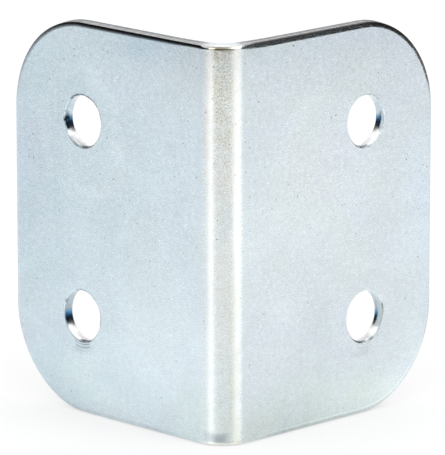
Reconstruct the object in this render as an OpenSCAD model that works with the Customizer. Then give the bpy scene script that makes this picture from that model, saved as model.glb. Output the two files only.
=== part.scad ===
// Corner brace bracket: one piece of zinc-plated steel sheet, blanked with round
// corners, punched with two screw holes in each flange and folded to a right angle.
//
// It stands on its lower edge. The fold points to +X -Y. The left flange runs from
// it towards -X and faces -Y, the right flange runs towards +Y and faces +X.
// The origin is below the middle of the part's box, at the height of the lower edge.

/* [Sheet] */
// Thickness of the steel sheet
sheet_t = 1.2; // [0.8:0.1:2]
// Height of the bracket along its fold
bracket_h = 40; // [32:0.5:90]

/* [Flanges] */
// Reach of each flange, from the outer face of the other flange to its free edge
flange_reach = 29.8; // [26:0.1:70]
// Radius of the corners at the free edges
corner_r = 10; // [2:0.5:14]

/* [Fold] */
// Radius on the inside of the fold
fold_inner_r = 2; // [0.6:0.1:4]

/* [Screw holes] */
// Diameter of the punched screw holes
hole_d = 5.2; // [3:0.1:6.4]
// Distance from the free edge of a flange to its row of holes
hole_side_margin = 9.8; // [5:0.1:12]
// Distance from the top edge to the upper hole, and from the bottom edge to the lower one
hole_end_margin = 10; // [5:0.1:12]

/* [Sheared edges] */
// How far along the face blanking rolls the outline over, on its outer side
edge_roll_run = 0.6; // [0.2:0.05:0.8]
// How far into the thickness that roll-over reaches at the cut
edge_roll_depth = 0.2; // [0.05:0.05:0.2]
// Radius that the punch rolls over at the outer mouth of each hole
hole_roll_r = 0.15; // [0.05:0.05:0.4]

/* [Hidden] */
$fn = 96;

// Radius on the outside of the fold
fold_outer_r = fold_inner_r + sheet_t;
// Length of a flange between the end of the fold and the start of its corners
flange_run = flange_reach - fold_outer_r - corner_r;
// Length of a free edge between its two corners
edge_run = bracket_h - 2 * corner_r;
// How far cutting shapes stand out of the metal
cut_past = 1;

// What the roll-over takes off a square corner at the origin whose metal fills
// the lower left quadrant: it leaves the face in a smooth curve, the given run short
// of the cut, and reaches the given depth below the face at the cut
module roll_off(run, depth) {
    bow = (run * run + depth * depth) / (2 * depth);
    difference() {
        translate([-run, -bow]) square([run + cut_past, bow + cut_past]);
        translate([-run, -bow]) circle(bow);
    }
}

// Section across a strip of sheet as wide as the given run, from y = 0 on the
// inner face to the outer face at y = sheet_t, with the roll-over at its far end
module edge_section(run) {
    difference() {
        square([run, sheet_t]);
        translate([run, sheet_t]) roll_off(edge_roll_run, edge_roll_depth);
    }
}

// Section across the whole height of the sheet, rolled over at the top and the
// bottom: x is the height and y runs from the inner face to the outer face
module sheet_section() {
    half_h = bracket_h / 2;
    translate([half_h, 0]) {
        edge_section(half_h);
        mirror([1, 0]) edge_section(half_h);
    }
}

// One rounded corner of a flange, about an axis square to the sheet
module flange_corner() {
    rotate_extrude(angle = 90) edge_section(corner_r);
}

// Screw hole through a sheet that fills z = 0 to sheet_t, rolled over at its outer mouth
module screw_hole() {
    hole_r = hole_d / 2;
    translate([0, 0, -cut_past]) cylinder(r = hole_r, h = sheet_t + 2 * cut_past);
    translate([0, 0, sheet_t]) rotate_extrude() intersection() {
        translate([hole_r, 0]) mirror([1, 0]) roll_off(hole_roll_r, hole_roll_r);
        translate([0, -sheet_t]) square([hole_r + hole_roll_r, sheet_t + cut_past]);
    }
}

// One flange laid flat: its inner face on z = 0, its height along y, the end of the
// fold at x = 0 and its free edge towards +X
module flange() {
    difference() {
        union() {
            // Flat part, the same section all the way from the fold to the corners
            rotate([90, 0, 90]) linear_extrude(flange_run) sheet_section();
            translate([flange_run, bracket_h - corner_r, 0]) flange_corner();
            translate([flange_run, corner_r, 0]) mirror([0, 1, 0]) flange_corner();
            // Free edge between the corners
            translate([flange_run, bracket_h - corner_r, 0])
                rotate([90, 0, 0]) linear_extrude(edge_run) edge_section(corner_r);
        }
        for (y = [hole_end_margin, bracket_h - hole_end_margin])
            translate([flange_reach - fold_outer_r - hole_side_margin, y, 0]) screw_hole();
    }
}

// The folded quarter turn, which carries the sheet's section round the fold's axis.
// Its axis is the Z axis, and its outer skin faces from -Y round to +X
module fold() {
    rotate([0, 0, -90]) rotate_extrude(angle = 90)
        translate([fold_inner_r, 0]) mirror([1, -1]) sheet_section();
}

// The bracket, built round the fold's axis and then moved to the origin of the part
module bracket() {
    to_middle = flange_reach / 2;
    color([0.76, 0.80, 0.82])
    translate([to_middle - fold_outer_r, fold_outer_r - to_middle, 0]) {
        fold();
        // Right flange, facing +X
        translate([fold_inner_r, 0, 0]) rotate([90, 0, 90]) flange();
        // Left flange, facing -Y
        mirror([1, 1, 0]) translate([fold_inner_r, 0, 0]) rotate([90, 0, 90]) flange();
    }
}

bracket();
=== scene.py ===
from math import atan2, cos, pi, radians, sin

import bmesh
import bpy
from mathutils import Matrix, Vector, noise


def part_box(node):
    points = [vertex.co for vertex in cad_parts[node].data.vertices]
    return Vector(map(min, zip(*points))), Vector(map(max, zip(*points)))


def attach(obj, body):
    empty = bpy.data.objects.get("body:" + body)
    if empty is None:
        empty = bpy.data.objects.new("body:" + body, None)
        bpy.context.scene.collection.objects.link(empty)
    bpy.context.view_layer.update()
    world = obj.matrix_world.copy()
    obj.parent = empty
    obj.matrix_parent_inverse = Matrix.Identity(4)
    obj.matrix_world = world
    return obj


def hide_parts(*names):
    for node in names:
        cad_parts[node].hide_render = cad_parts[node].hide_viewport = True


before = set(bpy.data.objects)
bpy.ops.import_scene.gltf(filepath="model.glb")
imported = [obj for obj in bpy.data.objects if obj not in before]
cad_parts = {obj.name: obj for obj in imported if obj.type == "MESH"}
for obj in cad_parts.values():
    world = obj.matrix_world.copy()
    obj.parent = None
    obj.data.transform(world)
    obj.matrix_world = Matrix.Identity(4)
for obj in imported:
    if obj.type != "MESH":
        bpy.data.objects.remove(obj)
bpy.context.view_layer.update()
low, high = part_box("bracket")


# Folded sheet
# One steel sheet, blanked with round corners, punched with two screw holes in each
# flange, folded to a right angle and zinc-plated. Blanking and punching roll its outer
# arrises over, and folding swells the inner side at the top of the fold.
height = high.z - low.z
reach = high.x - low.x
sheet = 0.0012
fold_inner = 0.002
fold_outer = fold_inner + sheet
flat_run = reach - fold_outer
corner_radius = 0.010
hole_radius = 0.0026
hole_side_margin = 0.0098
hole_end_margin = 0.010
widest_roll = 0.00065
roll_runs = (0.00060, 0.00059)
roll_depths = (0.00010, 0.00013)
cut_slant = 0.00011
corner_trims = {
    ("left", "lower"): 0.00016, ("left", "upper"): -0.00008,
    ("right", "lower"): 0.00014, ("right", "upper"): 0.00007,
}
mouth_roll = 0.00009
mouth_raggedness = 0.00005
punch_flare = 0.00009
inner_break = 0.00006
fold_roll_run = 0.00038
fold_roll_depth = 0.00016
fold_swell = 0.00016
swell_reach = 0.0042
swell_width = 0.0066
swell_fade = 0.0042
fold_draw_in = 0.00005
# Widths of the bands of points that carry the roll-overs
crease = 0.00004
rim_band = 0.0011
hole_row = flat_run - hole_side_margin
hole_heights = (hole_end_margin, height - hole_end_margin)
upper_left_shift = Vector((0.00025, 0, -0.00005))
# The mesh is made round the fold's axis, with the right flange along +Y, and moved last
fold_axis = Vector((high.x - fold_outer, low.y + fold_outer, low.z))


def outward(co):
    """Direction square to the sheet, away from the inside of the fold."""
    if co.y >= 0:
        return Vector((1, 0, 0))
    if co.x <= 0:
        return Vector((0, -1, 0))
    return Vector((co.x, co.y, 0)).normalized()


def depth(co):
    """How far a point lies below the sheet's outer skin."""
    return fold_outer - outward(co).dot(co)


def once_each(parts):
    """The parts in the order given, each of them once."""
    return list(dict.fromkeys(parts))


def grown_ring(bm, edges, middle, share):
    """Extrudes a ring of edges and scales the new ring about the hole's middle."""
    grown = bmesh.ops.extrude_edge_only(bm, edges=edges)["geom"]
    bmesh.ops.scale(
        bm, vec=(1, share, share), space=middle.inverted(),
        verts=[part for part in grown if isinstance(part, bmesh.types.BMVert)],
    )
    return [part for part in grown if isinstance(part, bmesh.types.BMEdge)]


def punched_rim(bm, z):
    """Rim of one hole with three bands of quads round it; gives the outer edges."""
    middle = Matrix.Translation((fold_outer, hole_row, z))
    circle = bmesh.ops.create_circle(
        bm, cap_ends=False, segments=96, radius=hole_radius,
        matrix=middle @ Matrix.Rotation(pi / 2, 4, "Y"),
    )
    edges = once_each(edge for vert in circle["verts"] for edge in vert.link_edges)
    near = hole_radius + mouth_roll + crease
    far = hole_radius + mouth_roll + 3 * crease
    edges = grown_ring(bm, edges, middle, near / hole_radius)
    edges = grown_ring(bm, edges, middle, far / near)
    return grown_ring(bm, edges, middle, (hole_radius + rim_band) / far)


# Outer skin of the right flange: the blanked outline with two bands inside it
bm = bmesh.new()
corners = [
    bm.verts.new((fold_outer, y, z))
    for y, z in ((-3 * rim_band, 0), (flat_run, 0), (flat_run, height), (-3 * rim_band, height))
]
bm.faces.new(corners)
bmesh.ops.bevel(
    bm, geom=corners[1:3], offset=corner_radius, segments=32,
    profile=0.5, affect="VERTICES", material=-1,
)
for width in (widest_roll + crease, rim_band - widest_roll - crease):
    bm.normal_update()
    bmesh.ops.inset_region(
        bm, faces=[max(bm.faces, key=lambda face: face.calc_area())], thickness=width,
        use_even_offset=True, use_boundary=True,
    )
bmesh.ops.bisect_plane(
    bm, geom=bm.verts[:] + bm.edges[:] + bm.faces[:],
    plane_co=(0, 0, 0), plane_no=(0, -1, 0), clear_outer=True,
)
plate = max(bm.faces, key=lambda face: face.calc_area())
plate_edges = list(plate.edges)
bmesh.ops.delete(bm, geom=[plate], context="FACES_ONLY")
for z in hole_heights:
    plate_edges += punched_rim(bm, z)
bmesh.ops.triangle_fill(
    bm, use_beauty=True, use_dissolve=False, edges=plate_edges, normal=(1, 0, 0),
)
# Rows of points beside the fold, over which the roll-over changes
for y in (0.0008, 0.0016, 0.0026, 0.004):
    bmesh.ops.bisect_plane(
        bm, geom=bm.verts[:] + bm.edges[:] + bm.faces[:], plane_co=(0, y, 0), plane_no=(0, 1, 0),
    )

# Half the fold, then the left flange and its half of the fold as a mirror image
fold_line = [edge for edge in bm.edges if all(abs(vert.co.y) < 1e-7 for vert in edge.verts)]
bmesh.ops.spin(
    bm, geom=fold_line + once_each(vert for edge in fold_line for vert in edge.verts),
    cent=(0, 0, 0), axis=(0, 0, 1), dvec=(0, 0, 0), angle=-pi / 4, steps=24,
)
# More rows across the fold near its two ends, which folding pulls out of shape
for z in (0.0013, 0.0018, 0.0024, 0.0032, 0.0042):
    for level in (z, height - z):
        strip = [face for face in bm.faces if face.calc_center_median().y < 0]
        edges = once_each(edge for face in strip for edge in face.edges)
        points = once_each(vert for face in strip for vert in face.verts)
        bmesh.ops.bisect_plane(
            bm, geom=strip + edges + points, plane_co=(0, 0, level), plane_no=(0, 0, 1),
        )
bmesh.ops.mirror(
    bm, geom=bm.verts[:] + bm.edges[:] + bm.faces[:], axis="X",
    matrix=Matrix.Rotation(-pi / 4, 4, "Z"), merge_dist=1e-7,
)
bmesh.ops.remove_doubles(bm, verts=bm.verts[:], dist=1e-6)
bmesh.ops.recalc_face_normals(bm, faces=bm.faces[:])
bmesh.ops.solidify(bm, geom=bm.faces[:], thickness=sheet)


def is_wall(face):
    """Whether a face lies across the sheet, where the blade or the punch sheared it."""
    return abs(face.normal.dot(outward(face.calc_center_median()))) < 0.3


def hole_at(co):
    """Height of the punched hole that a point on a sheared wall belongs to."""
    along = max(co.y, -co.x)
    for z in hole_heights:
        if (along - hole_row) ** 2 + (co.z - z) ** 2 < (hole_radius + mouth_roll + 2 * crease) ** 2:
            return z
    return None


bm.normal_update()
arris = [edge for edge in bm.edges if sum(is_wall(face) for face in edge.link_faces) == 1]
outer_arris = [edge for edge in arris if depth(edge.verts[0].co) < sheet / 2]
inner_arris = [edge for edge in arris if depth(edge.verts[0].co) > sheet / 2]
mouths = [edge for edge in outer_arris if hole_at(edge.verts[0].co) is not None]
outline = [edge for edge in outer_arris if hole_at(edge.verts[0].co) is None]
for edges, width, segments in (
    (outline, widest_roll, 12), (mouths, mouth_roll, 5), (inner_arris, inner_break, 3),
):
    bmesh.ops.bevel(
        bm, geom=edges, offset=width, segments=segments,
        profile=0.5, affect="EDGES", material=-1,
    )
# Three more rings of points down every sheared wall
bm.normal_update()
across = once_each(
    edge for face in bm.faces if is_wall(face) for edge in face.edges
    if abs(depth(edge.verts[0].co) - depth(edge.verts[1].co)) > sheet / 3
)
bmesh.ops.subdivide_edges(bm, edges=across, cuts=3, use_grid_fill=True)


def rim(co):
    """Distance from the sheared outline, and the direction that leads in from it."""
    run, along = 0, Vector((0, 0, 0))
    if co.y >= 0:
        run, along = co.y, Vector((0, 1, 0))
    elif co.x <= 0:
        run, along = -co.x, Vector((-1, 0, 0))
    up = Vector((0, 0, 1 if co.z > height / 2 else -1))
    across = run - (flat_run - corner_radius)
    rise = abs(co.z - height / 2) - (height / 2 - corner_radius)
    if across > 0 and rise > 0:
        out = across * along + rise * up
        return corner_radius - out.length, -out.normalized()
    if across > rise:
        return corner_radius - across, -along
    return corner_radius - rise, -up


# Developed place of each point on the flat blank, measured from the middle of the fold,
# with its depth, and how far the roll-over has turned there, from 0 to 1. The lips of
# the holes get 2.
blank = bm.verts.layers.float_vector.new("blank")
rolled = bm.verts.layers.float.new("rolled")
for vert in bm.verts:
    angle = min(pi / 4, max(-pi / 4, atan2(vert.co.y, vert.co.x) + pi / 4))
    along = fold_outer * angle + max(0, vert.co.y) + min(0, vert.co.x)
    vert[blank] = Vector((along, vert.co.z, depth(vert.co)))

# The die rolls the outline over, further along the face than into the thickness, and
# deeper on the right flange than on the left. The cut below it slants a little, so
# the outline stands out furthest at the inner skin. Its corners came out slightly off
# round: the trims are what each one lacks at its middle.
for vert in bm.verts:
    below = depth(vert.co)
    inside, inward = rim(vert.co)
    if inside > widest_roll + 2 * crease or hole_at(vert.co) is not None:
        continue
    # side is 0 on the left flange and 1 on the right, bend is 1 on the fold, and taper
    # starts to narrow the run further out than bend does
    off_fold = abs(vert[blank].x)
    side = (1 + min(1, max(-1, (vert.co.x + vert.co.y) / fold_outer))) / 2
    bend = min(1, max(0, 2.6 - 2.3 * off_fold / (fold_outer * pi / 4)))
    taper = min(1, max(0, (0.0075 - 0.003 * side - off_fold) / (0.004 - 0.002 * side)))
    roll_depth = roll_depths[0] + (roll_depths[1] - roll_depths[0]) * side
    run = roll_runs[0] + (roll_runs[1] - roll_runs[0]) * side
    run += (fold_roll_run - run) * max(bend, 0.8 * taper)
    dip = (roll_depth + (fold_roll_depth - roll_depth) * bend) * (1 - 0.65 * max(0, inward.z))
    lean = cut_slant * (1.7 - 0.7 * abs(inward.z))
    if below < widest_roll + 1e-7 and inside < widest_roll + 1e-7:
        turn = min(1, max(0, atan2(widest_roll - inside, widest_roll - below) / (pi / 2)))
        vert[rolled] = min(1, turn * 1.5)
        fullness = 3.2 - 0.8 * side * (1 - bend) + 0.8 * bend
        vert.co += (below - dip * turn ** fullness) * outward(vert.co)
        vert.co += (run - (run - lean) * turn ** 2 - inside) * inward
    elif below < 1e-7:
        vert.co += (run - widest_roll) * inward
    else:
        vert.co += lean * min(1, max(0, sheet - below) / (sheet - roll_depth)) ** 1.5 * inward
    corner = ("left" if vert[blank].x < 0 else "right", "lower" if inward.z > 0 else "upper")
    round_it = 4 * inward.z ** 2 * (1 - inward.z ** 2)
    vert.co += corner_trims[corner] * round_it * inward

# The punch leaves its holes a little ragged at the mouth and wider at the inner side.
# Arcs of their rims are darker: each row gives the flange, the hole, the arc in degrees from the right,
# and how dark the lip and the wall are there.
dark_arcs = (
    ("left", "upper", 50, 130, 0.95, 0), ("left", "upper", 4, 55, 0.5, 0),
    ("left", "upper", 177, 189, 1.0, 0.9), ("left", "upper", 222, 262, 0.5, 0.35),
    ("left", "upper", 264, 300, 0.8, 0.9),
    ("left", "lower", 45, 110, 0.5, 0), ("left", "lower", -10, 14, 0.65, 0),
    ("left", "lower", 150, 156, 0.9, 0), ("left", "lower", 262, 300, 0.6, 0.8),
    ("right", "upper", 30, 100, 0.12, 0), ("right", "upper", 236, 262, 0.8, 0.9),
    ("right", "upper", 264, 285, 0.3, 0.1), ("right", "lower", -4, 22, 0.6, 0.1),
    ("right", "lower", 236, 263, 0.8, 0.95), ("right", "lower", 284, 300, 0.5, 0.3),
)
darkened_rim = bm.verts.layers.float.new("darkened_rim")
for vert in bm.verts:
    z = hole_at(vert.co)
    if z is None:
        continue
    axis = Vector((-hole_row, vert.co.y, z)) if vert.co.x < 0 else Vector((vert.co.x, hole_row, z))
    spoke = vert.co - axis
    on_lip = vert[blank].z < mouth_roll * 1.01
    vert[rolled] = 2 * (on_lip and spoke.length < hole_radius + mouth_roll * 1.05)
    facing = atan2(spoke.z, spoke.x + spoke.y) / pi * 180
    for flange, hole, start, end, lip_dark, wall_dark in dark_arcs:
        if (flange == "left") != (vert[blank].x < 0) or (hole == "upper") != (z > height / 2):
            continue
        past = abs((facing - (start + end) / 2 + 180) % 360 - 180) - (end - start) / 2
        share = min(1, max(0, 0.5 - past / 8))
        shallow = min(1, max(0, (0.00085 - vert[blank].z) / 0.0003))
        vert[darkened_rim] = max(vert[darkened_rim], share * (lip_dark if on_lip else wall_dark * shallow))
    flared = max(0, vert[blank].z / sheet - 0.3) / 0.7
    if flared and spoke.length > hole_radius + mouth_roll:
        flared *= 0.6
    lip = max(0, 1 - vert[blank].z / (3 * mouth_roll))
    ragged = noise.noise(900 * vert[blank] + Vector((0, 0, 7)))
    ragged += 0.6 * noise.noise(2600 * vert[blank])
    vert.co += (punch_flare * flared ** 1.5 + mouth_raggedness * lip * ragged) * spoke.normalized()

# The upper left hole is punched a little nearer to the fold than the others
for vert in bm.verts:
    aside, above = vert.co.x + hole_row, vert.co.z - hole_heights[1]
    if aside ** 2 + above ** 2 < (hole_radius + 1.1 * rim_band) ** 2:
        vert.co += upper_left_shift

# Folding squeezes the inner side up at the top of the fold. At both ends it draws the
# outer skin back from the end, and a little inwards.
for vert in bm.verts:
    bend = min(1, max(0, (swell_width - abs(vert[blank].x)) / swell_fade)) ** 2
    if bend == 0:
        continue
    for end, at_top in ((height, True), (0, False)):
        near = max(0, 1 - abs(vert.co.z - end) / swell_reach)
        within = vert[blank].z / sheet
        if at_top:
            vert.co.z += fold_swell * bend * near ** 4 * (1.2 * within - 0.55)
        else:
            vert.co.z += 0.7 * fold_swell * bend * near ** 4 * (1 - within)
        vert.co -= fold_draw_in * bend * near ** 2 * (1 - within) * outward(vert.co)

# The sheared walls get the second material, which treats those of the holes apart
bm.normal_update()
hole_wall_mark = bm.faces.layers.float.new("sheared")
for face in bm.faces:
    face.smooth = True
    centre = face.calc_center_median()
    if is_wall(face) and sheet - inner_break > depth(centre) > roll_depths[0]:
        if hole_at(centre) is None:
            face.material_index = 1
        elif depth(centre) > mouth_roll:
            face.material_index = 1
            face[hole_wall_mark] = 1
for edge in bm.edges:
    if len({face.material_index for face in edge.link_faces}) > 1:
        edge.smooth = False
bmesh.ops.translate(bm, vec=fold_axis, verts=bm.verts[:])
mesh = bpy.data.meshes.new("bracket_sheet")
bm.to_mesh(mesh)
bm.free()
bracket = bpy.data.objects.new("bracket_sheet", mesh)
bpy.context.scene.collection.objects.link(bracket)
even = bracket.modifiers.new("even_normals", "WEIGHTED_NORMAL")
even.weight = 100
even.keep_sharp = True


def new_group(name, inputs, outputs):
    """Empty node group with named sockets, given as (name, type, default) rows."""
    group = bpy.data.node_groups.new(name, "ShaderNodeTree")
    for title, kind, value in inputs:
        socket = group.interface.new_socket(title, in_out="INPUT", socket_type="NodeSocket" + kind)
        if value is not None:
            socket.default_value = value
    for title, kind in outputs:
        group.interface.new_socket(title, in_out="OUTPUT", socket_type="NodeSocket" + kind)
    return group, group.nodes.new("NodeGroupInput"), group.nodes.new("NodeGroupOutput")


def wire(tree, node, **plugs):
    """Sets a node's sockets, by link where a plug is a socket and by value otherwise."""
    for title, plug in plugs.items():
        socket = node.inputs[int(title[1:])] if title[0] == "_" else node.inputs[title]
        if isinstance(plug, bpy.types.NodeSocket):
            tree.links.new(plug, socket)
        else:
            socket.default_value = plug
    return node


def placed(tree, group, **plugs):
    """Puts a node group into a material with its own values."""
    node = tree.nodes.new("ShaderNodeGroup")
    node.node_tree = group
    return wire(tree, node, **plugs)


def carried(tree, name, output="Fac"):
    """What the mesh carries at each point under a name."""
    node = tree.nodes.new("ShaderNodeAttribute")
    node.attribute_name = name
    return node.outputs[output]


def noise_at(tree, place, scale, detail=2.0, rough=0.5, warp=0.0, output="Fac"):
    """Noise between 0 and 1 at so many cells a metre."""
    node = tree.nodes.new("ShaderNodeTexNoise")
    wire(tree, node, Vector=place, Scale=scale, Detail=detail, Roughness=rough, Distortion=warp)
    return node.outputs[output]


def sums(tree, operation, *values):
    """Maths node on up to three values."""
    node = tree.nodes.new("ShaderNodeMath")
    node.operation = operation
    wire(tree, node, **{"_%d" % at: value for at, value in enumerate(values)})
    return node.outputs[0]


def product(tree, first, *others):
    """All the values multiplied together."""
    for value in others:
        first = sums(tree, "MULTIPLY", first, value)
    return first


def total(tree, first, *others):
    """All the values added together."""
    for value in others:
        first = sums(tree, "ADD", first, value)
    return first


def less(tree, first, *others):
    """The first value with the others taken from it."""
    for value in others:
        first = sums(tree, "SUBTRACT", first, value)
    return first


def swing(tree, value, gain):
    """A value between 0 and 1 made to swing either side of 0, times a gain."""
    return product(tree, less(tree, value, 0.5), gain)


def vectors(tree, operation, *values, output="Vector"):
    """Maths node on up to three vectors."""
    node = tree.nodes.new("ShaderNodeVectorMath")
    node.operation = operation
    wire(tree, node, **{"_%d" % at: value for at, value in enumerate(values)})
    return node.outputs[output]


def scaled(tree, vector, share):
    """A vector or colour times a value."""
    node = tree.nodes.new("ShaderNodeVectorMath")
    node.operation = "SCALE"
    wire(tree, node, Vector=vector, Scale=share)
    return node.outputs["Vector"]


def axes(tree, vector):
    """The X, Y and Z of a vector."""
    node = tree.nodes.new("ShaderNodeSeparateXYZ")
    wire(tree, node, Vector=vector)
    return node.outputs["X"], node.outputs["Y"], node.outputs["Z"]


def spread(tree, value, low_in, high_in, low_out=0.0, high_out=1.0, soft=True):
    """Maps a value from one range to another, held at the ends."""
    node = tree.nodes.new("ShaderNodeMapRange")
    node.interpolation_type = "SMOOTHSTEP" if soft else "LINEAR"
    wire(tree, node, Value=value, _1=low_in, _2=high_in, _3=low_out, _4=high_out)
    return node.outputs["Result"]


def blend(tree, share, first, second, kind="MIX"):
    """Mixes two colours."""
    node = tree.nodes.new("ShaderNodeMix")
    node.data_type = "RGBA"
    node.blend_type = kind
    wire(tree, node, Factor=share, A=first, B=second)
    return node.outputs["Result"]


# Grain of rolled and plated sheet: fine satin grain with a little coarser mottling
grain, given, made = new_group(
    "satin_grain", (("Place", "Vector", None), ("Size", "Float", 0.00012), ("Cloud", "Float", 0.3)),
    (("Tone", "Float"), ("Height", "Float")),
)
cells = sums(grain, "DIVIDE", 1.0, given.outputs["Size"])
fine = noise_at(grain, given.outputs["Place"], cells, detail=1.2)
broad = noise_at(
    grain, given.outputs["Place"], product(grain, cells, 0.22), detail=3.0, rough=0.55)
tone = total(grain, less(grain, fine, 0.5), swing(grain, broad, given.outputs["Cloud"]))
wire(grain, made, Tone=tone, Height=fine)

# Small dark pits that the plating did not fill, scattered singly
pits, given, made = new_group(
    "scattered_pits",
    (("Place", "Vector", None), ("Size", "Float", 0.0006), ("Share", "Float", 0.2)), (("Mask", "Float"),),
)
cell = pits.nodes.new("ShaderNodeTexVoronoi")
wire(pits, cell, Vector=given.outputs["Place"], Randomness=1.0,
     Scale=sums(pits, "DIVIDE", 1.0, given.outputs["Size"]))
chance = pits.nodes.new("ShaderNodeSeparateColor")
wire(pits, chance, Color=cell.outputs["Color"])
chosen = sums(pits, "LESS_THAN", chance.outputs["Red"], given.outputs["Share"])
pit_radius = spread(pits, chance.outputs["Green"], 0.0, 1.0, 0.06, 0.16, soft=False)
dot = spread(pits, sums(pits, "DIVIDE", cell.outputs["Distance"], pit_radius), 0.6, 1.0, 1.0, 0.0)
wire(pits, made, Mask=product(pits, dot, chosen))

# Short curved marks that the stripper left below the lower holes, one inside another
first_mark = 0.00292
mark_spacing = 0.00032
marks, given, made = new_group(
    "stripper_marks", (("Place", "Vector", None), ("Strength", "Float", 1.0)), (("Mask", "Float"),),
)
x, y, _ = axes(marks, given.outputs["Place"])
over = less(marks, sums(marks, "ABSOLUTE", x), hole_row + fold_outer * pi / 4)
down = less(marks, y, hole_end_margin)
from_hole = sums(marks, "SQRT", total(marks, product(marks, over, over), product(marks, down, down)))
rings = sums(marks, "COSINE", product(
    marks, less(marks, from_hole, first_mark), 2 * pi / mark_spacing))
mask = spread(marks, rings, 0.55, 1.0)
for value, start, end in (
    (from_hole, 0.00272, 0.00282), (from_hole, 0.00345, 0.00337),
    (over, -0.0013, -0.0010), (over, 0.0012, 0.0009), (down, -0.0020, -0.0024),
):
    mask = product(marks, mask, spread(marks, value, start, end))
wire(marks, made, Mask=product(marks, mask, given.outputs["Strength"]))

# Soft round patch about a point on the blank
patch, given, made = new_group(
    "soft_patch", (("Place", "Vector", None), ("Middle", "Vector", None), ("Size", "Vector", None)),
    (("Mask", "Float"),),
)
gap = vectors(patch, "SUBTRACT", given.outputs["Place"], given.outputs["Middle"])
from_middle = vectors(
    patch, "LENGTH", vectors(patch, "DIVIDE", gap, given.outputs["Size"]), output="Value")
wire(patch, made, Mask=spread(patch, from_middle, 0.1, 1.0, 1.0, 0.0))

# Bright zinc plate, blue-passivated, over the rolled faces
zinc = bpy.data.materials.new("zinc_plate")
zinc.use_nodes = True
tree = zinc.node_tree
skin = tree.nodes["Principled BSDF"]
skin.inputs["Metallic"].default_value = 1.0
place = carried(tree, "blank", "Vector")
turned = carried(tree, "rolled")
# along runs from the middle of the fold, below 0 on the left flange, and level from the
# lower edge, both in metres
along, level, _ = axes(tree, place)
off_fold = sums(tree, "ABSOLUTE", along)
right_side = spread(tree, along, -0.0016, 0.0022)
upper = spread(tree, level, 0.019, 0.036)
# The fold, its middle strip between the two highlights, and the strips beside that
bent = spread(tree, off_fold, 0.0013, 0.0025, 1.0, 0.0)
between = spread(tree, off_fold, 0.0006, 0.0012, 1.0, 0.0)
flank = product(
    tree, spread(tree, off_fold, 0.0008, 0.0013), spread(tree, off_fold, 0.0032, 0.0022))
calm = less(tree, 1.0, product(tree, flank, 0.6))

# Tints of the passivation, mottled at random, with painted shade that keeps the left flange darker and
# bluer than the right, most towards its outer edge. Creamy where the fold is stretched
tint = noise_at(tree, place, 75, warp=1.4)
left_tint_and_shade = blend(
    tree, spread(tree, along, -0.024, -0.004), (0.628, 0.750, 0.810, 1), (0.680, 0.774, 0.824, 1))
left_tint_and_shade = blend(tree, spread(tree, tint, 0.40, 0.66, 0.0, 0.5), left_tint_and_shade, (0.670, 0.753, 0.826, 1))
right_tint = blend(
    tree, spread(tree, tint, 0.36, 0.64), (0.715, 0.792, 0.820, 1), (0.708, 0.776, 0.838, 1))
colour = blend(tree, right_side, left_tint_and_shade, right_tint)
# Over the fold the creamy tint is also a painted highlight, lighter towards the top
stretched_tint_and_highlight = product(tree, bent, spread(tree, level, 0.0, 0.040, 0.5, 0.95))
colour = blend(tree, stretched_tint_and_highlight, colour, (0.86, 0.87, 0.85, 1))
# Painted shade: the middle strip between the two highlights is painted darker, a painted dark reflection
painted_dark_middle = product(tree, between, spread(tree, level, 0.0, 0.040, 0.3, 1.0))
colour = blend(tree, painted_dark_middle, colour, (0.73, 0.775, 0.75, 1))
brown = spread(tree, noise_at(tree, place, 800), 0.38, 0.62, 0.0, 0.6)
colour = blend(tree, product(tree, between, upper, brown), colour, (0.68, 0.66, 0.56, 1))

# The outlines of the patches wander by this much, half of it either way
sway = 0.003
wander = noise_at(tree, place, 240, output="Color")
wandering = vectors(tree, "MULTIPLY_ADD", wander, (sway, sway, 0), place)


def patch_at(x, y, wide, tall):
    """Soft patch at a point on the blank, with its half sizes, all in millimetres."""
    middle = (0.001 * x + sway / 2, 0.001 * y + sway / 2, 0)
    size = (0.001 * wide, 0.001 * tall, 1)
    return placed(tree, patch, Place=wandering, Middle=middle, Size=size).outputs["Mask"]
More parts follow.
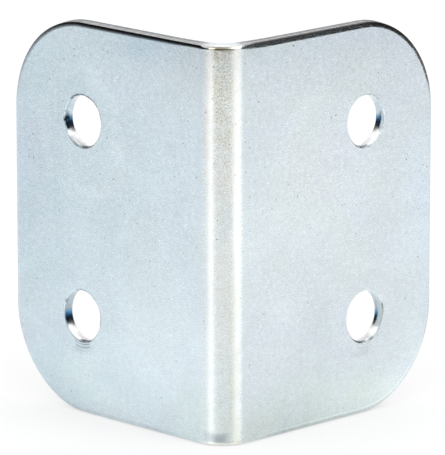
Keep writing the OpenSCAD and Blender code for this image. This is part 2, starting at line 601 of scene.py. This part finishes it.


# Patches where the passivation came out darker, lighter or another tint, and patches of painted light and
# shade: painted shade in a blotch low on the fold at (-0.6, 1.15) and across its top roll-over at (0,
# 40), a painted highlight along its lower rim at (0, 0.1) and low on the flanges at (-15.5, 1.0) and
# (22.5, 1.0), and several up the fold that set how light its reflections look. Each gives the middle on
# the blank, the half width and half height, and the tint
for x, y, wide, tall, tone in (
    (-10, 38.8, 8, 3, (0.92, 0.96, 0.99)), (-15, 34.5, 7, 6, (1.06, 1.06, 1.07)),
    (-29, 25, 9, 11, (0.98, 0.975, 1.0)), (-26, 39, 8, 4, (1.04, 1.03, 1.04)),
    (-10, 12, 7, 12, (1.03, 1.02, 1.01)), (-15.5, 1.0, 10, 4, (1.13, 1.115, 1.08)),
    (-4, 1.5, 6, 5, (0.975, 0.985, 0.94)), (-8, 27, 8, 9, (0.99, 1.0, 1.01)),
    (-19.2, 6.6, 1.9, 0.9, (0.86, 0.86, 0.88)), (18.7, 6.6, 2.0, 0.9, (0.92, 0.90, 0.89)),
    (12, 39, 16, 4, (0.98, 0.99, 1.01)), (29, 38, 7, 6, (0.94, 0.955, 0.97)),
    (11, 26, 10, 10, (1.03, 1.01, 1.0)), (6, 10, 7, 9, (1.04, 1.035, 1.045)),
    (4, 1.0, 6, 4.5, (0.97, 0.975, 0.91)), (22.5, 1.0, 7, 4, (1.12, 1.12, 1.06)),
    (29, 20, 6, 18, (0.985, 1.01, 1.04)), (13, 9, 3.2, 8, (0.965, 0.97, 0.985)),
    (3.5, 29, 3.5, 8, (0.96, 0.98, 0.96)), (-0.6, 1.15, 1.5, 0.6, (0.62, 0.63, 0.69)),
    (0, 5, 1.6, 7, (0.965, 1.0, 1.01)), (0, 0.1, 3.5, 0.45, (1.15, 1.08, 0.97)),
    (1.2, 8, 0.7, 16, (1.0, 0.985, 0.93)), (0, 40, 3.0, 0.6, (0.40, 0.36, 0.30)),
    (27, 5, 7, 8, (1.025, 1.035, 1.04)), (0, 22.5, 1.3, 4.5, (0.92, 0.945, 0.985)),
    (0, 28.5, 1.3, 4, (1.0, 1.0, 1.04)), (15, 2, 15, 5, (1.0, 1.02, 0.965)),
    (-10.5, 38.8, 4, 2.5, (0.94, 0.985, 0.985)), (5, 39, 4, 2.5, (0.94, 0.97, 0.955)),
    (-20, 4.5, 5, 3.5, (1.06, 1.05, 1.02)), (-3.6, 31, 1.6, 6, (1.035, 1.04, 1.04)),
    (0, 2.5, 1.3, 3, (0.95, 0.96, 0.96)), (-3.5, 5, 4, 3, (0.98, 0.985, 0.965)),
):
    colour = blend(tree, patch_at(x, y, wide, tall), colour, (*tone, 1), "MULTIPLY")
# Two faint tide lines that the rinse left round the left flange's upper hole, each
# drawn where such a patch is half way to its full strength
for x, y, wide, tall in ((-17.4, 25.9, 6.8, 5.4), (-19.6, 29.0, 9.4, 11.5)):
    ring = patch_at(x, y, wide, tall)
    ring = spread(tree, product(tree, ring, less(tree, 1.0, ring)), 0.215, 0.25)
    colour = blend(tree, ring, colour, (1.038, 1.028, 1.022, 1), "MULTIPLY")

# Low down the roll-over is painted darker, a painted shade for the contact shadow seen in it, with a
# painted highlight, a gleam, on its inner half on the right flange
shade_from = spread(tree, right_side, 0.0, 1.0, 0.25, 0.8)
shade_to = spread(tree, right_side, 0.0, 1.0, 0.8, 1.0)
patchy = spread(tree, noise_at(tree, place, 1500, detail=3.0, rough=0.6), 0.40, 0.62, 0.7, 1.0)
painted_low_roll_shade = product(
    tree, spread(tree, turned, shade_from, shade_to), spread(tree, level, 0.012, 0.007),
    spread(tree, off_fold, 0.003, 0.008), patchy)
painted_shade_tint = blend(tree, right_side, (0.84, 0.83, 0.83, 1), (0.80, 0.79, 0.79, 1))
colour = blend(tree, painted_low_roll_shade, colour, painted_shade_tint, "MULTIPLY")
painted_gleam = product(
    tree, spread(tree, turned, 0.0, 0.2), spread(tree, turned, 0.8, 0.5),
    spread(tree, level, 0.002, 0.0012), spread(tree, along, 0.006, 0.011), patchy)
colour = blend(tree, painted_gleam, colour, (1.20, 1.19, 1.10, 1), "MULTIPLY")
# Along the top of the right flange the roll-over is painted nearly black with a ragged outline, a painted
# dark reflection. Only round the corner does this painted black reach the cut.
band_raggedness = noise_at(tree, place, 2100, detail=3.0, rough=0.65)
ragged_roll = total(tree, turned, swing(tree, band_raggedness, 3.0))
towards_corner = sums(
    tree, "MAXIMUM", spread(tree, along, 0.017, 0.022), spread(tree, turned, 0.7, 1.0, 1.0, 0.15))
painted_dark_band = product(
    tree, spread(tree, ragged_roll, 0.40, 0.60), spread(tree, along, 0.0035, 0.006),
    spread(tree, level, 0.0310, 0.0335), spread(tree, turned, 0.02, 0.05), towards_corner)
colour = blend(tree, painted_dark_band, colour, (0.30, 0.27, 0.23, 1), "MULTIPLY")

# Grain, coarser along the upper part of the fold, then drifts and swirls of the plating
fine_grain = placed(tree, grain, Place=place, Size=0.000115, Cloud=0.34)
coarse_grain = placed(tree, grain, Place=place, Size=0.00017, Cloud=0.25)
coarseness = product(tree, between, upper)
grain_gain = spread(tree, level, 0.002, 0.038, 0.72, 1.10, soft=False)
texture = total(
    tree, product(tree, fine_grain.outputs["Tone"], grain_gain),
    product(tree, coarse_grain.outputs["Tone"], coarseness, 1.1),
    swing(tree, noise_at(tree, place, 45, warp=0.8), 0.18))
texture = total(
    tree, product(tree, texture, calm),
    swing(tree, noise_at(tree, place, 105, detail=2.5, warp=2.0), 0.15))
# Fine drying lines, darker arcs round the holes, marks of the stripper, specks and pits
drying = less(tree, noise_at(tree, place, 62, detail=1.0, rough=0.4, warp=1.6), 0.5)
drying = spread(tree, sums(tree, "ABSOLUTE", drying), 0.0, 0.03, 0.02, 0.0)
rim_mottle = spread(tree, noise_at(tree, place, 2200, rough=0.6), 0.40, 0.60, 0.45, 0.95)
rim_dark = product(tree, carried(tree, "darkened_rim"), rim_mottle)
mark_strength = spread(tree, right_side, 0.0, 1.0, 0.6, 0.2)
marked = placed(tree, marks, Place=place, Strength=mark_strength).outputs["Mask"]
specks = placed(tree, pits, Place=place, Size=0.0010, Share=0.22).outputs["Mask"]
texture = less(tree, texture, drying, rim_dark, marked, product(tree, specks, 0.30))
pitted = placed(tree, pits, Place=place, Size=0.0006, Share=0.25).outputs["Mask"]
pitted = product(tree, pitted, spread(tree, level, 0.005, 0.035, 0.3, 0.9))

# Broad painted light and shade, set by place on the flanges and the fold, which darkens the plate where
# it is below 0 and lightens it above 0
far_left = product(
    tree, spread(tree, along, -0.029, -0.011, 1.0, 0.0), spread(tree, level, 0.018, 0.037, -0.08, 0.04))
top_left = product(
    tree, spread(tree, along, -0.015, -0.005), spread(tree, level, 0.034, 0.039, 0.0, -0.08))
low_left = product(
    tree, spread(tree, along, -0.017, -0.004), spread(tree, level, 0.016, 0.007, 0.0, 0.08))
at_left = product(tree, total(tree, far_left, top_left, low_left), less(tree, 1.0, right_side))
at_right = product(tree, right_side, total(
    tree, spread(tree, level, 0.010, 0.025, -0.035, 0.05), spread(tree, level, 0.032, 0.040, 0.0, -0.06)))
low_right = product(
    tree, spread(tree, along, 0.009, 0.018), spread(tree, level, 0.007, 0.001, 0.0, 0.07))
on_fold = product(tree, bent, spread(tree, level, 0.0, 0.024, -0.085, 0.0))
painted_shading = total(tree, at_left, at_right, low_right, on_fold)
lightness = less(tree, total(tree, 1.0, painted_shading, texture), pitted)
wire(tree, skin, **{"Base Color": scaled(tree, colour, lightness)})

# Rolling the edge over burnished it, more on the left. The lips of the holes are rough.
satin = total(
    tree, 0.25, product(tree, fine_grain.outputs["Tone"], 0.10), product(tree, bent, 0.05))
burnish = spread(tree, right_side, 0.0, 1.0, 0.35, 0.8)
hole_lip = product(tree, sums(tree, "GREATER_THAN", turned, 1.2), 0.9)
burnished = total(tree, spread(tree, turned, 0.05, 0.3, 1.0, burnish), hole_lip)
wire(tree, skin, Roughness=product(tree, satin, burnished))
relief = total(
    tree, fine_grain.outputs["Height"], product(tree, coarse_grain.outputs["Height"], coarseness))
chatter = swing(tree, noise_at(tree, place, 3000, rough=0.7), 14.0)
chattered = product(tree, spread(tree, turned, 0.2, 0.6), right_side)
relief = total(tree, product(tree, relief, calm), product(tree, chatter, chattered))
bump = tree.nodes.new("ShaderNodeBump")
wire(tree, bump, Height=relief, Strength=0.25, Distance=0.00001)
wire(tree, skin, Normal=bump.outputs["Normal"])

# Sheared walls: a smooth land under the roll-over, then the torn, duller break, with
# plating over both. Tool marks run across the sheet.
cut = bpy.data.materials.new("zinc_on_sheared_edge")
cut.use_nodes = True
tree = cut.node_tree
skin = tree.nodes["Principled BSDF"]
skin.inputs["Metallic"].default_value = 1.0
place = carried(tree, "blank", "Vector")
in_hole = carried(tree, "sheared")
along, level, below = axes(tree, place)
drag = tree.nodes.new("ShaderNodeMapping")
drag.inputs["Scale"].default_value = (1, 1, 0.12)
wire(tree, drag, Vector=place)
torn = spread(tree, below, 0.0004, 0.0006)
lines = noise_at(tree, drag.outputs["Vector"], 5200, detail=3.0, rough=0.6)
tear = noise_at(tree, place, 4200, rough=0.6)
streaks = total(tree, swing(tree, lines, 0.35), product(tree, swing(tree, tear, 0.5), torn))
# Down the wall of a hole the colour is painted from grey through blue and navy to nearly white, a painted
# reflection over the blue of the passivation. The value local below runs from 1 at the top of the hole to
# -1 at the bottom.
hole_spacing = height - 2 * hole_end_margin
in_step = less(tree, sums(tree, "MODULO", level, hole_spacing), hole_end_margin)
local = product(tree, in_step, 1 / hole_radius)
painted_hole_reflection = blend(tree, spread(tree, local, 0.14, -0.10), (0.54, 0.62, 0.67, 1), (0.12, 0.40, 0.75, 1))
painted_hole_reflection = blend(tree, spread(tree, local, -0.05, -0.2), painted_hole_reflection, (0.08, 0.20, 0.36, 1))
painted_hole_reflection = blend(tree, spread(tree, local, -0.28, -0.45), painted_hole_reflection, (0.92, 0.93, 0.94, 1))
# On the right flange the painted dark part stops short of the mouth, further in the lower hole, and is
# painted pale there
dark_start = spread(tree, level, 0.014, 0.026, 0.00067, 0.00038)
short = less(tree, total(tree, below, swing(tree, tear, 0.0003)), dark_start)
painted_pale = product(
    tree, spread(tree, short, 0.00008, -0.00008), spread(tree, along, -0.001, 0.001),
    in_hole, spread(tree, local, -0.62, -0.48))
painted_hole_reflection = blend(tree, painted_pale, painted_hole_reflection, (0.86, 0.94, 0.97, 1))
# On the outline the land is nearly white and the break grey, less so at the fold. Along the top of the
# right flange the land is painted dark next to the roll-over, a painted dark reflection that widens the
# black band there.
duller = spread(tree, sums(tree, "ABSOLUTE", along), 0.0015, 0.005, 0.75, 1.0)
deep = product(tree, spread(tree, below, 0.00073, 0.00078), duller)
edge_tone = blend(tree, deep, (0.97, 0.975, 0.98, 1), (0.66, 0.70, 0.74, 1))
ragged_depth = total(tree, below, swing(tree, tear, 0.00008))
painted_dark_land = product(
    tree, spread(tree, ragged_depth, 0.00071, 0.00069), spread(tree, along, 0.0028, 0.0042),
    spread(tree, level, 0.032, 0.035))
edge_tone = blend(tree, painted_dark_land, edge_tone, (0.26, 0.245, 0.22, 1), "MULTIPLY")
colour = blend(tree, in_hole, edge_tone, painted_hole_reflection)
rim_dark = product(
    tree, carried(tree, "darkened_rim"), less(tree, 1.0, painted_pale), spread(tree, lines, 0.40, 0.60, 0.85, 1.0))
colour = blend(tree, rim_dark, colour, (0.03, 0.033, 0.04, 1))
wire(tree, skin, **{"Base Color": scaled(tree, colour, total(tree, 1.0, streaks))})
low_torn = product(tree, torn, in_hole, spread(tree, local, -0.75, -0.9, 0.0, 0.4))
dull_parts = sums(tree, "MAXIMUM", low_torn, product(tree, painted_pale, 0.6))
wire(tree, skin, Roughness=total(
    tree, product(tree, torn, 0.10), product(tree, lines, 0.28), dull_parts))
bump = tree.nodes.new("ShaderNodeBump")
wire(tree, bump, Height=total(tree, lines, product(tree, tear, torn)), Strength=0.3, Distance=0.00002)
wire(tree, skin, Normal=bump.outputs["Normal"])

mesh.materials.append(zinc)
mesh.materials.append(cut)
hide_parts("bracket")
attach(bracket, "root")


# Floor
# A wide sheet of white gloss acrylic, lit from below, that the bracket stands on. In the metal it shows
# with its gloss, painted brightest near the bracket: a painted pool of light.
bm = bmesh.new()
bmesh.ops.create_grid(bm, x_segments=1, y_segments=1, size=3)
bmesh.ops.translate(bm, vec=(0, 0, low.z), verts=bm.verts[:])
mesh = bpy.data.meshes.new("floor")
bm.to_mesh(mesh)
bm.free()
floor = bpy.data.objects.new("floor", mesh)
bpy.context.scene.collection.objects.link(floor)
acrylic = bpy.data.materials.new("floor_acrylic")
acrylic.use_nodes = True
tree = acrylic.node_tree
white = tree.nodes["Principled BSDF"]
white.inputs["Base Color"].default_value = (0.37, 0.37, 0.37, 1)
white.inputs["Roughness"].default_value = 1.0
white.inputs["Specular IOR Level"].default_value = 0.0
white.inputs["Emission Color"].default_value = (1, 1, 1, 1)
white.inputs["Emission Strength"].default_value = 0.53
gloss = tree.nodes.new("ShaderNodeBsdfPrincipled")
gloss.inputs["Roughness"].default_value = 0.12
gloss.inputs["Emission Strength"].default_value = 0.08
spot = tree.nodes.new("ShaderNodeTexCoord").outputs["Object"]
distance = vectors(tree, "LENGTH", spot, output="Value")
# Painted light: the gloss is painted white near the bracket, fading to grey far off
light_pool_falloff = sums(tree, "POWER", spread(tree, distance, 0.03, 0.5, soft=False), 0.7)
# The floor's gloss is painted a little darker close under the two flanges, a painted contact shadow
x, y, _ = axes(tree, spot)
beside = sums(tree, "MAXIMUM", x, product(tree, y, -1.0))
painted_contact_shade = product(
    tree, spread(tree, beside, high.x, high.x + 0.012, 0.97, 1.0),
    spread(tree, beside, high.x, high.x + 0.0015, 0.86, 1.0))
# What the metal shows of the floor by way of two reflections is painted darker with distance from the
# bracket, a painted shade
rays = tree.nodes.new("ShaderNodeLightPath")
dim = spread(tree, distance, 0.03, 0.11, 0.8, 0.02, soft=False)
at_first = sums(tree, "LESS_THAN", rays.outputs["Ray Depth"], 1.5)
strength = product(tree, painted_contact_shade, sums(tree, "MAXIMUM", dim, at_first))
lit = scaled(
    tree, blend(tree, light_pool_falloff, (0.98, 0.98, 0.98, 1), (0.80, 0.80, 0.80, 1)), strength)
wire(tree, gloss, **{"Base Color": lit, "Emission Color": lit})
seen = tree.nodes.new("ShaderNodeMixShader")
wire(tree, seen, _0=rays.outputs["Is Glossy Ray"], _1=white.outputs["BSDF"], _2=gloss.outputs["BSDF"])
wire(tree, tree.nodes["Material Output"], Surface=seen.outputs["Shader"])
mesh.materials.append(acrylic)


# Studio surround
# A white tent: open and dark in a band above the horizon, closed with white overhead,
# and half lit straight behind the bracket. Only metal and gloss show it as it is.
world = bpy.data.worlds.new("studio")
bpy.context.scene.world = world
world.use_nodes = True
world.cycles.sampling_method = "NONE"
tree = world.node_tree
direction = tree.nodes.new("ShaderNodeTexCoord").outputs["Generated"]
rise = sums(tree, "ARCSINE", axes(tree, direction)[2])


def tent_wall(angle, stops):
    """Grey by height above the horizon, from (degrees, brightness) stops."""
    node = tree.nodes.new("ShaderNodeValToRGB")
    ramp = node.color_ramp
    ramp.elements.remove(ramp.elements[-1])
    for at, (degrees, grey) in enumerate(stops):
        stop = ramp.elements[0] if at == 0 else ramp.elements.new((degrees + 90) / 180)
        stop.position = (degrees + 90) / 180
        stop.color = (grey, grey, grey, 1)
    wire(tree, node, Fac=spread(tree, angle, -pi / 2, pi / 2, soft=False))
    return node.outputs["Color"]


around = tent_wall(rise, (
    (-90, 0.9), (-14, 0.9), (-4, 0.45), (3, 0.14), (8, 0.01), (24, 0.01), (31, 1.2), (90, 1.2),
))
straight = tent_wall(rise, (
    (-90, 0.9), (-14, 0.5), (5, 0.31), (22, 0.31), (34, 1.2), (90, 1.2),
))
camera_turn = radians(45.32)
behind = vectors(
    tree, "DOT_PRODUCT", direction, (-sin(camera_turn), cos(camera_turn), 0), output="Value")
tent = blend(tree, spread(tree, behind, 0.75, 0.95), around, straight)
# By way of three reflections, as deep in a hole, its lower part shows dark
rays = tree.nodes.new("ShaderNodeLightPath")
bounced = product(tree, spread(tree, rays.outputs["Ray Depth"], 2.4, 2.6), spread(
    tree, rise, radians(30), radians(25)))
tent = blend(tree, bounced, tent, (0.01, 0.01, 0.015, 1))
# Matt surfaces get even light from it, and the camera sees plain white
backdrop = blend(tree, rays.outputs["Is Camera Ray"], (1.25, 1.25, 1.25, 1), (1, 1, 1, 1))
wire(tree, tree.nodes["Background"],
     Color=blend(tree, rays.outputs["Is Glossy Ray"], backdrop, tent))


# Softboxes
# Two tall strips, one to each side of the camera and above the bracket. Their
# reflections run down the fold as two bright lines.
middle = Vector((high.x, low.y, (low.z + high.z) / 2))
fold_turn = 45.7
strip_rise = radians(28)
strip_distance = 1.2
strip_height = 0.87


def softbox(name, turn, width, power, colour=(1, 1, 1)):
    """Tall area lamp that faces the fold from a turn in degrees."""
    lamp = bpy.data.lights.new(name, "AREA")
    lamp.shape = "RECTANGLE"
    lamp.size = width
    lamp.size_y = strip_height
    lamp.energy = power
    lamp.color = colour
    away = Vector((
        sin(radians(turn)) * cos(strip_rise), -cos(radians(turn)) * cos(strip_rise), sin(strip_rise),
    ))
    stand = bpy.data.objects.new(name, lamp)
    bpy.context.scene.collection.objects.link(stand)
    stand.matrix_world = (
        Matrix.Translation(middle + strip_distance * away)
        @ away.to_track_quat("Z", "Y").to_matrix().to_4x4()
    )
    stand.visible_camera = False


softbox("left_strip", fold_turn - 42.5, width=0.44, power=2.6)
softbox("right_strip", fold_turn + 54.7, width=0.58, power=3.5, colour=(1, 0.99, 0.965))


# Camera
# A long lens, a little above the bracket and turned to face its fold, so that the
# two flanges lead away to the left and the right.
camera_rise = radians(13.10)
camera_distance = 0.490
aim_above = 0.002338
aim_left = 0.000005
away = Vector((
    sin(camera_turn) * cos(camera_rise), -cos(camera_turn) * cos(camera_rise), sin(camera_rise),
))
right = Vector((cos(camera_turn), sin(camera_turn), 0))
up = away.cross(right)
aim = middle + aim_above * up - aim_left * right
lens = bpy.data.cameras.new("camera")
lens.sensor_fit = "VERTICAL"
lens.sensor_height = 24
lens.lens = 266.5
lens.clip_start = 0.05
lens.clip_end = 20
camera = bpy.data.objects.new("camera", lens)
bpy.context.scene.collection.objects.link(camera)
camera.matrix_world = (
    Matrix.Translation(aim + camera_distance * away)
    @ away.to_track_quat("Z", "Y").to_matrix().to_4x4()
)
bpy.context.scene.camera = camera
bpy.context.scene.view_settings.view_transform = "Standard"
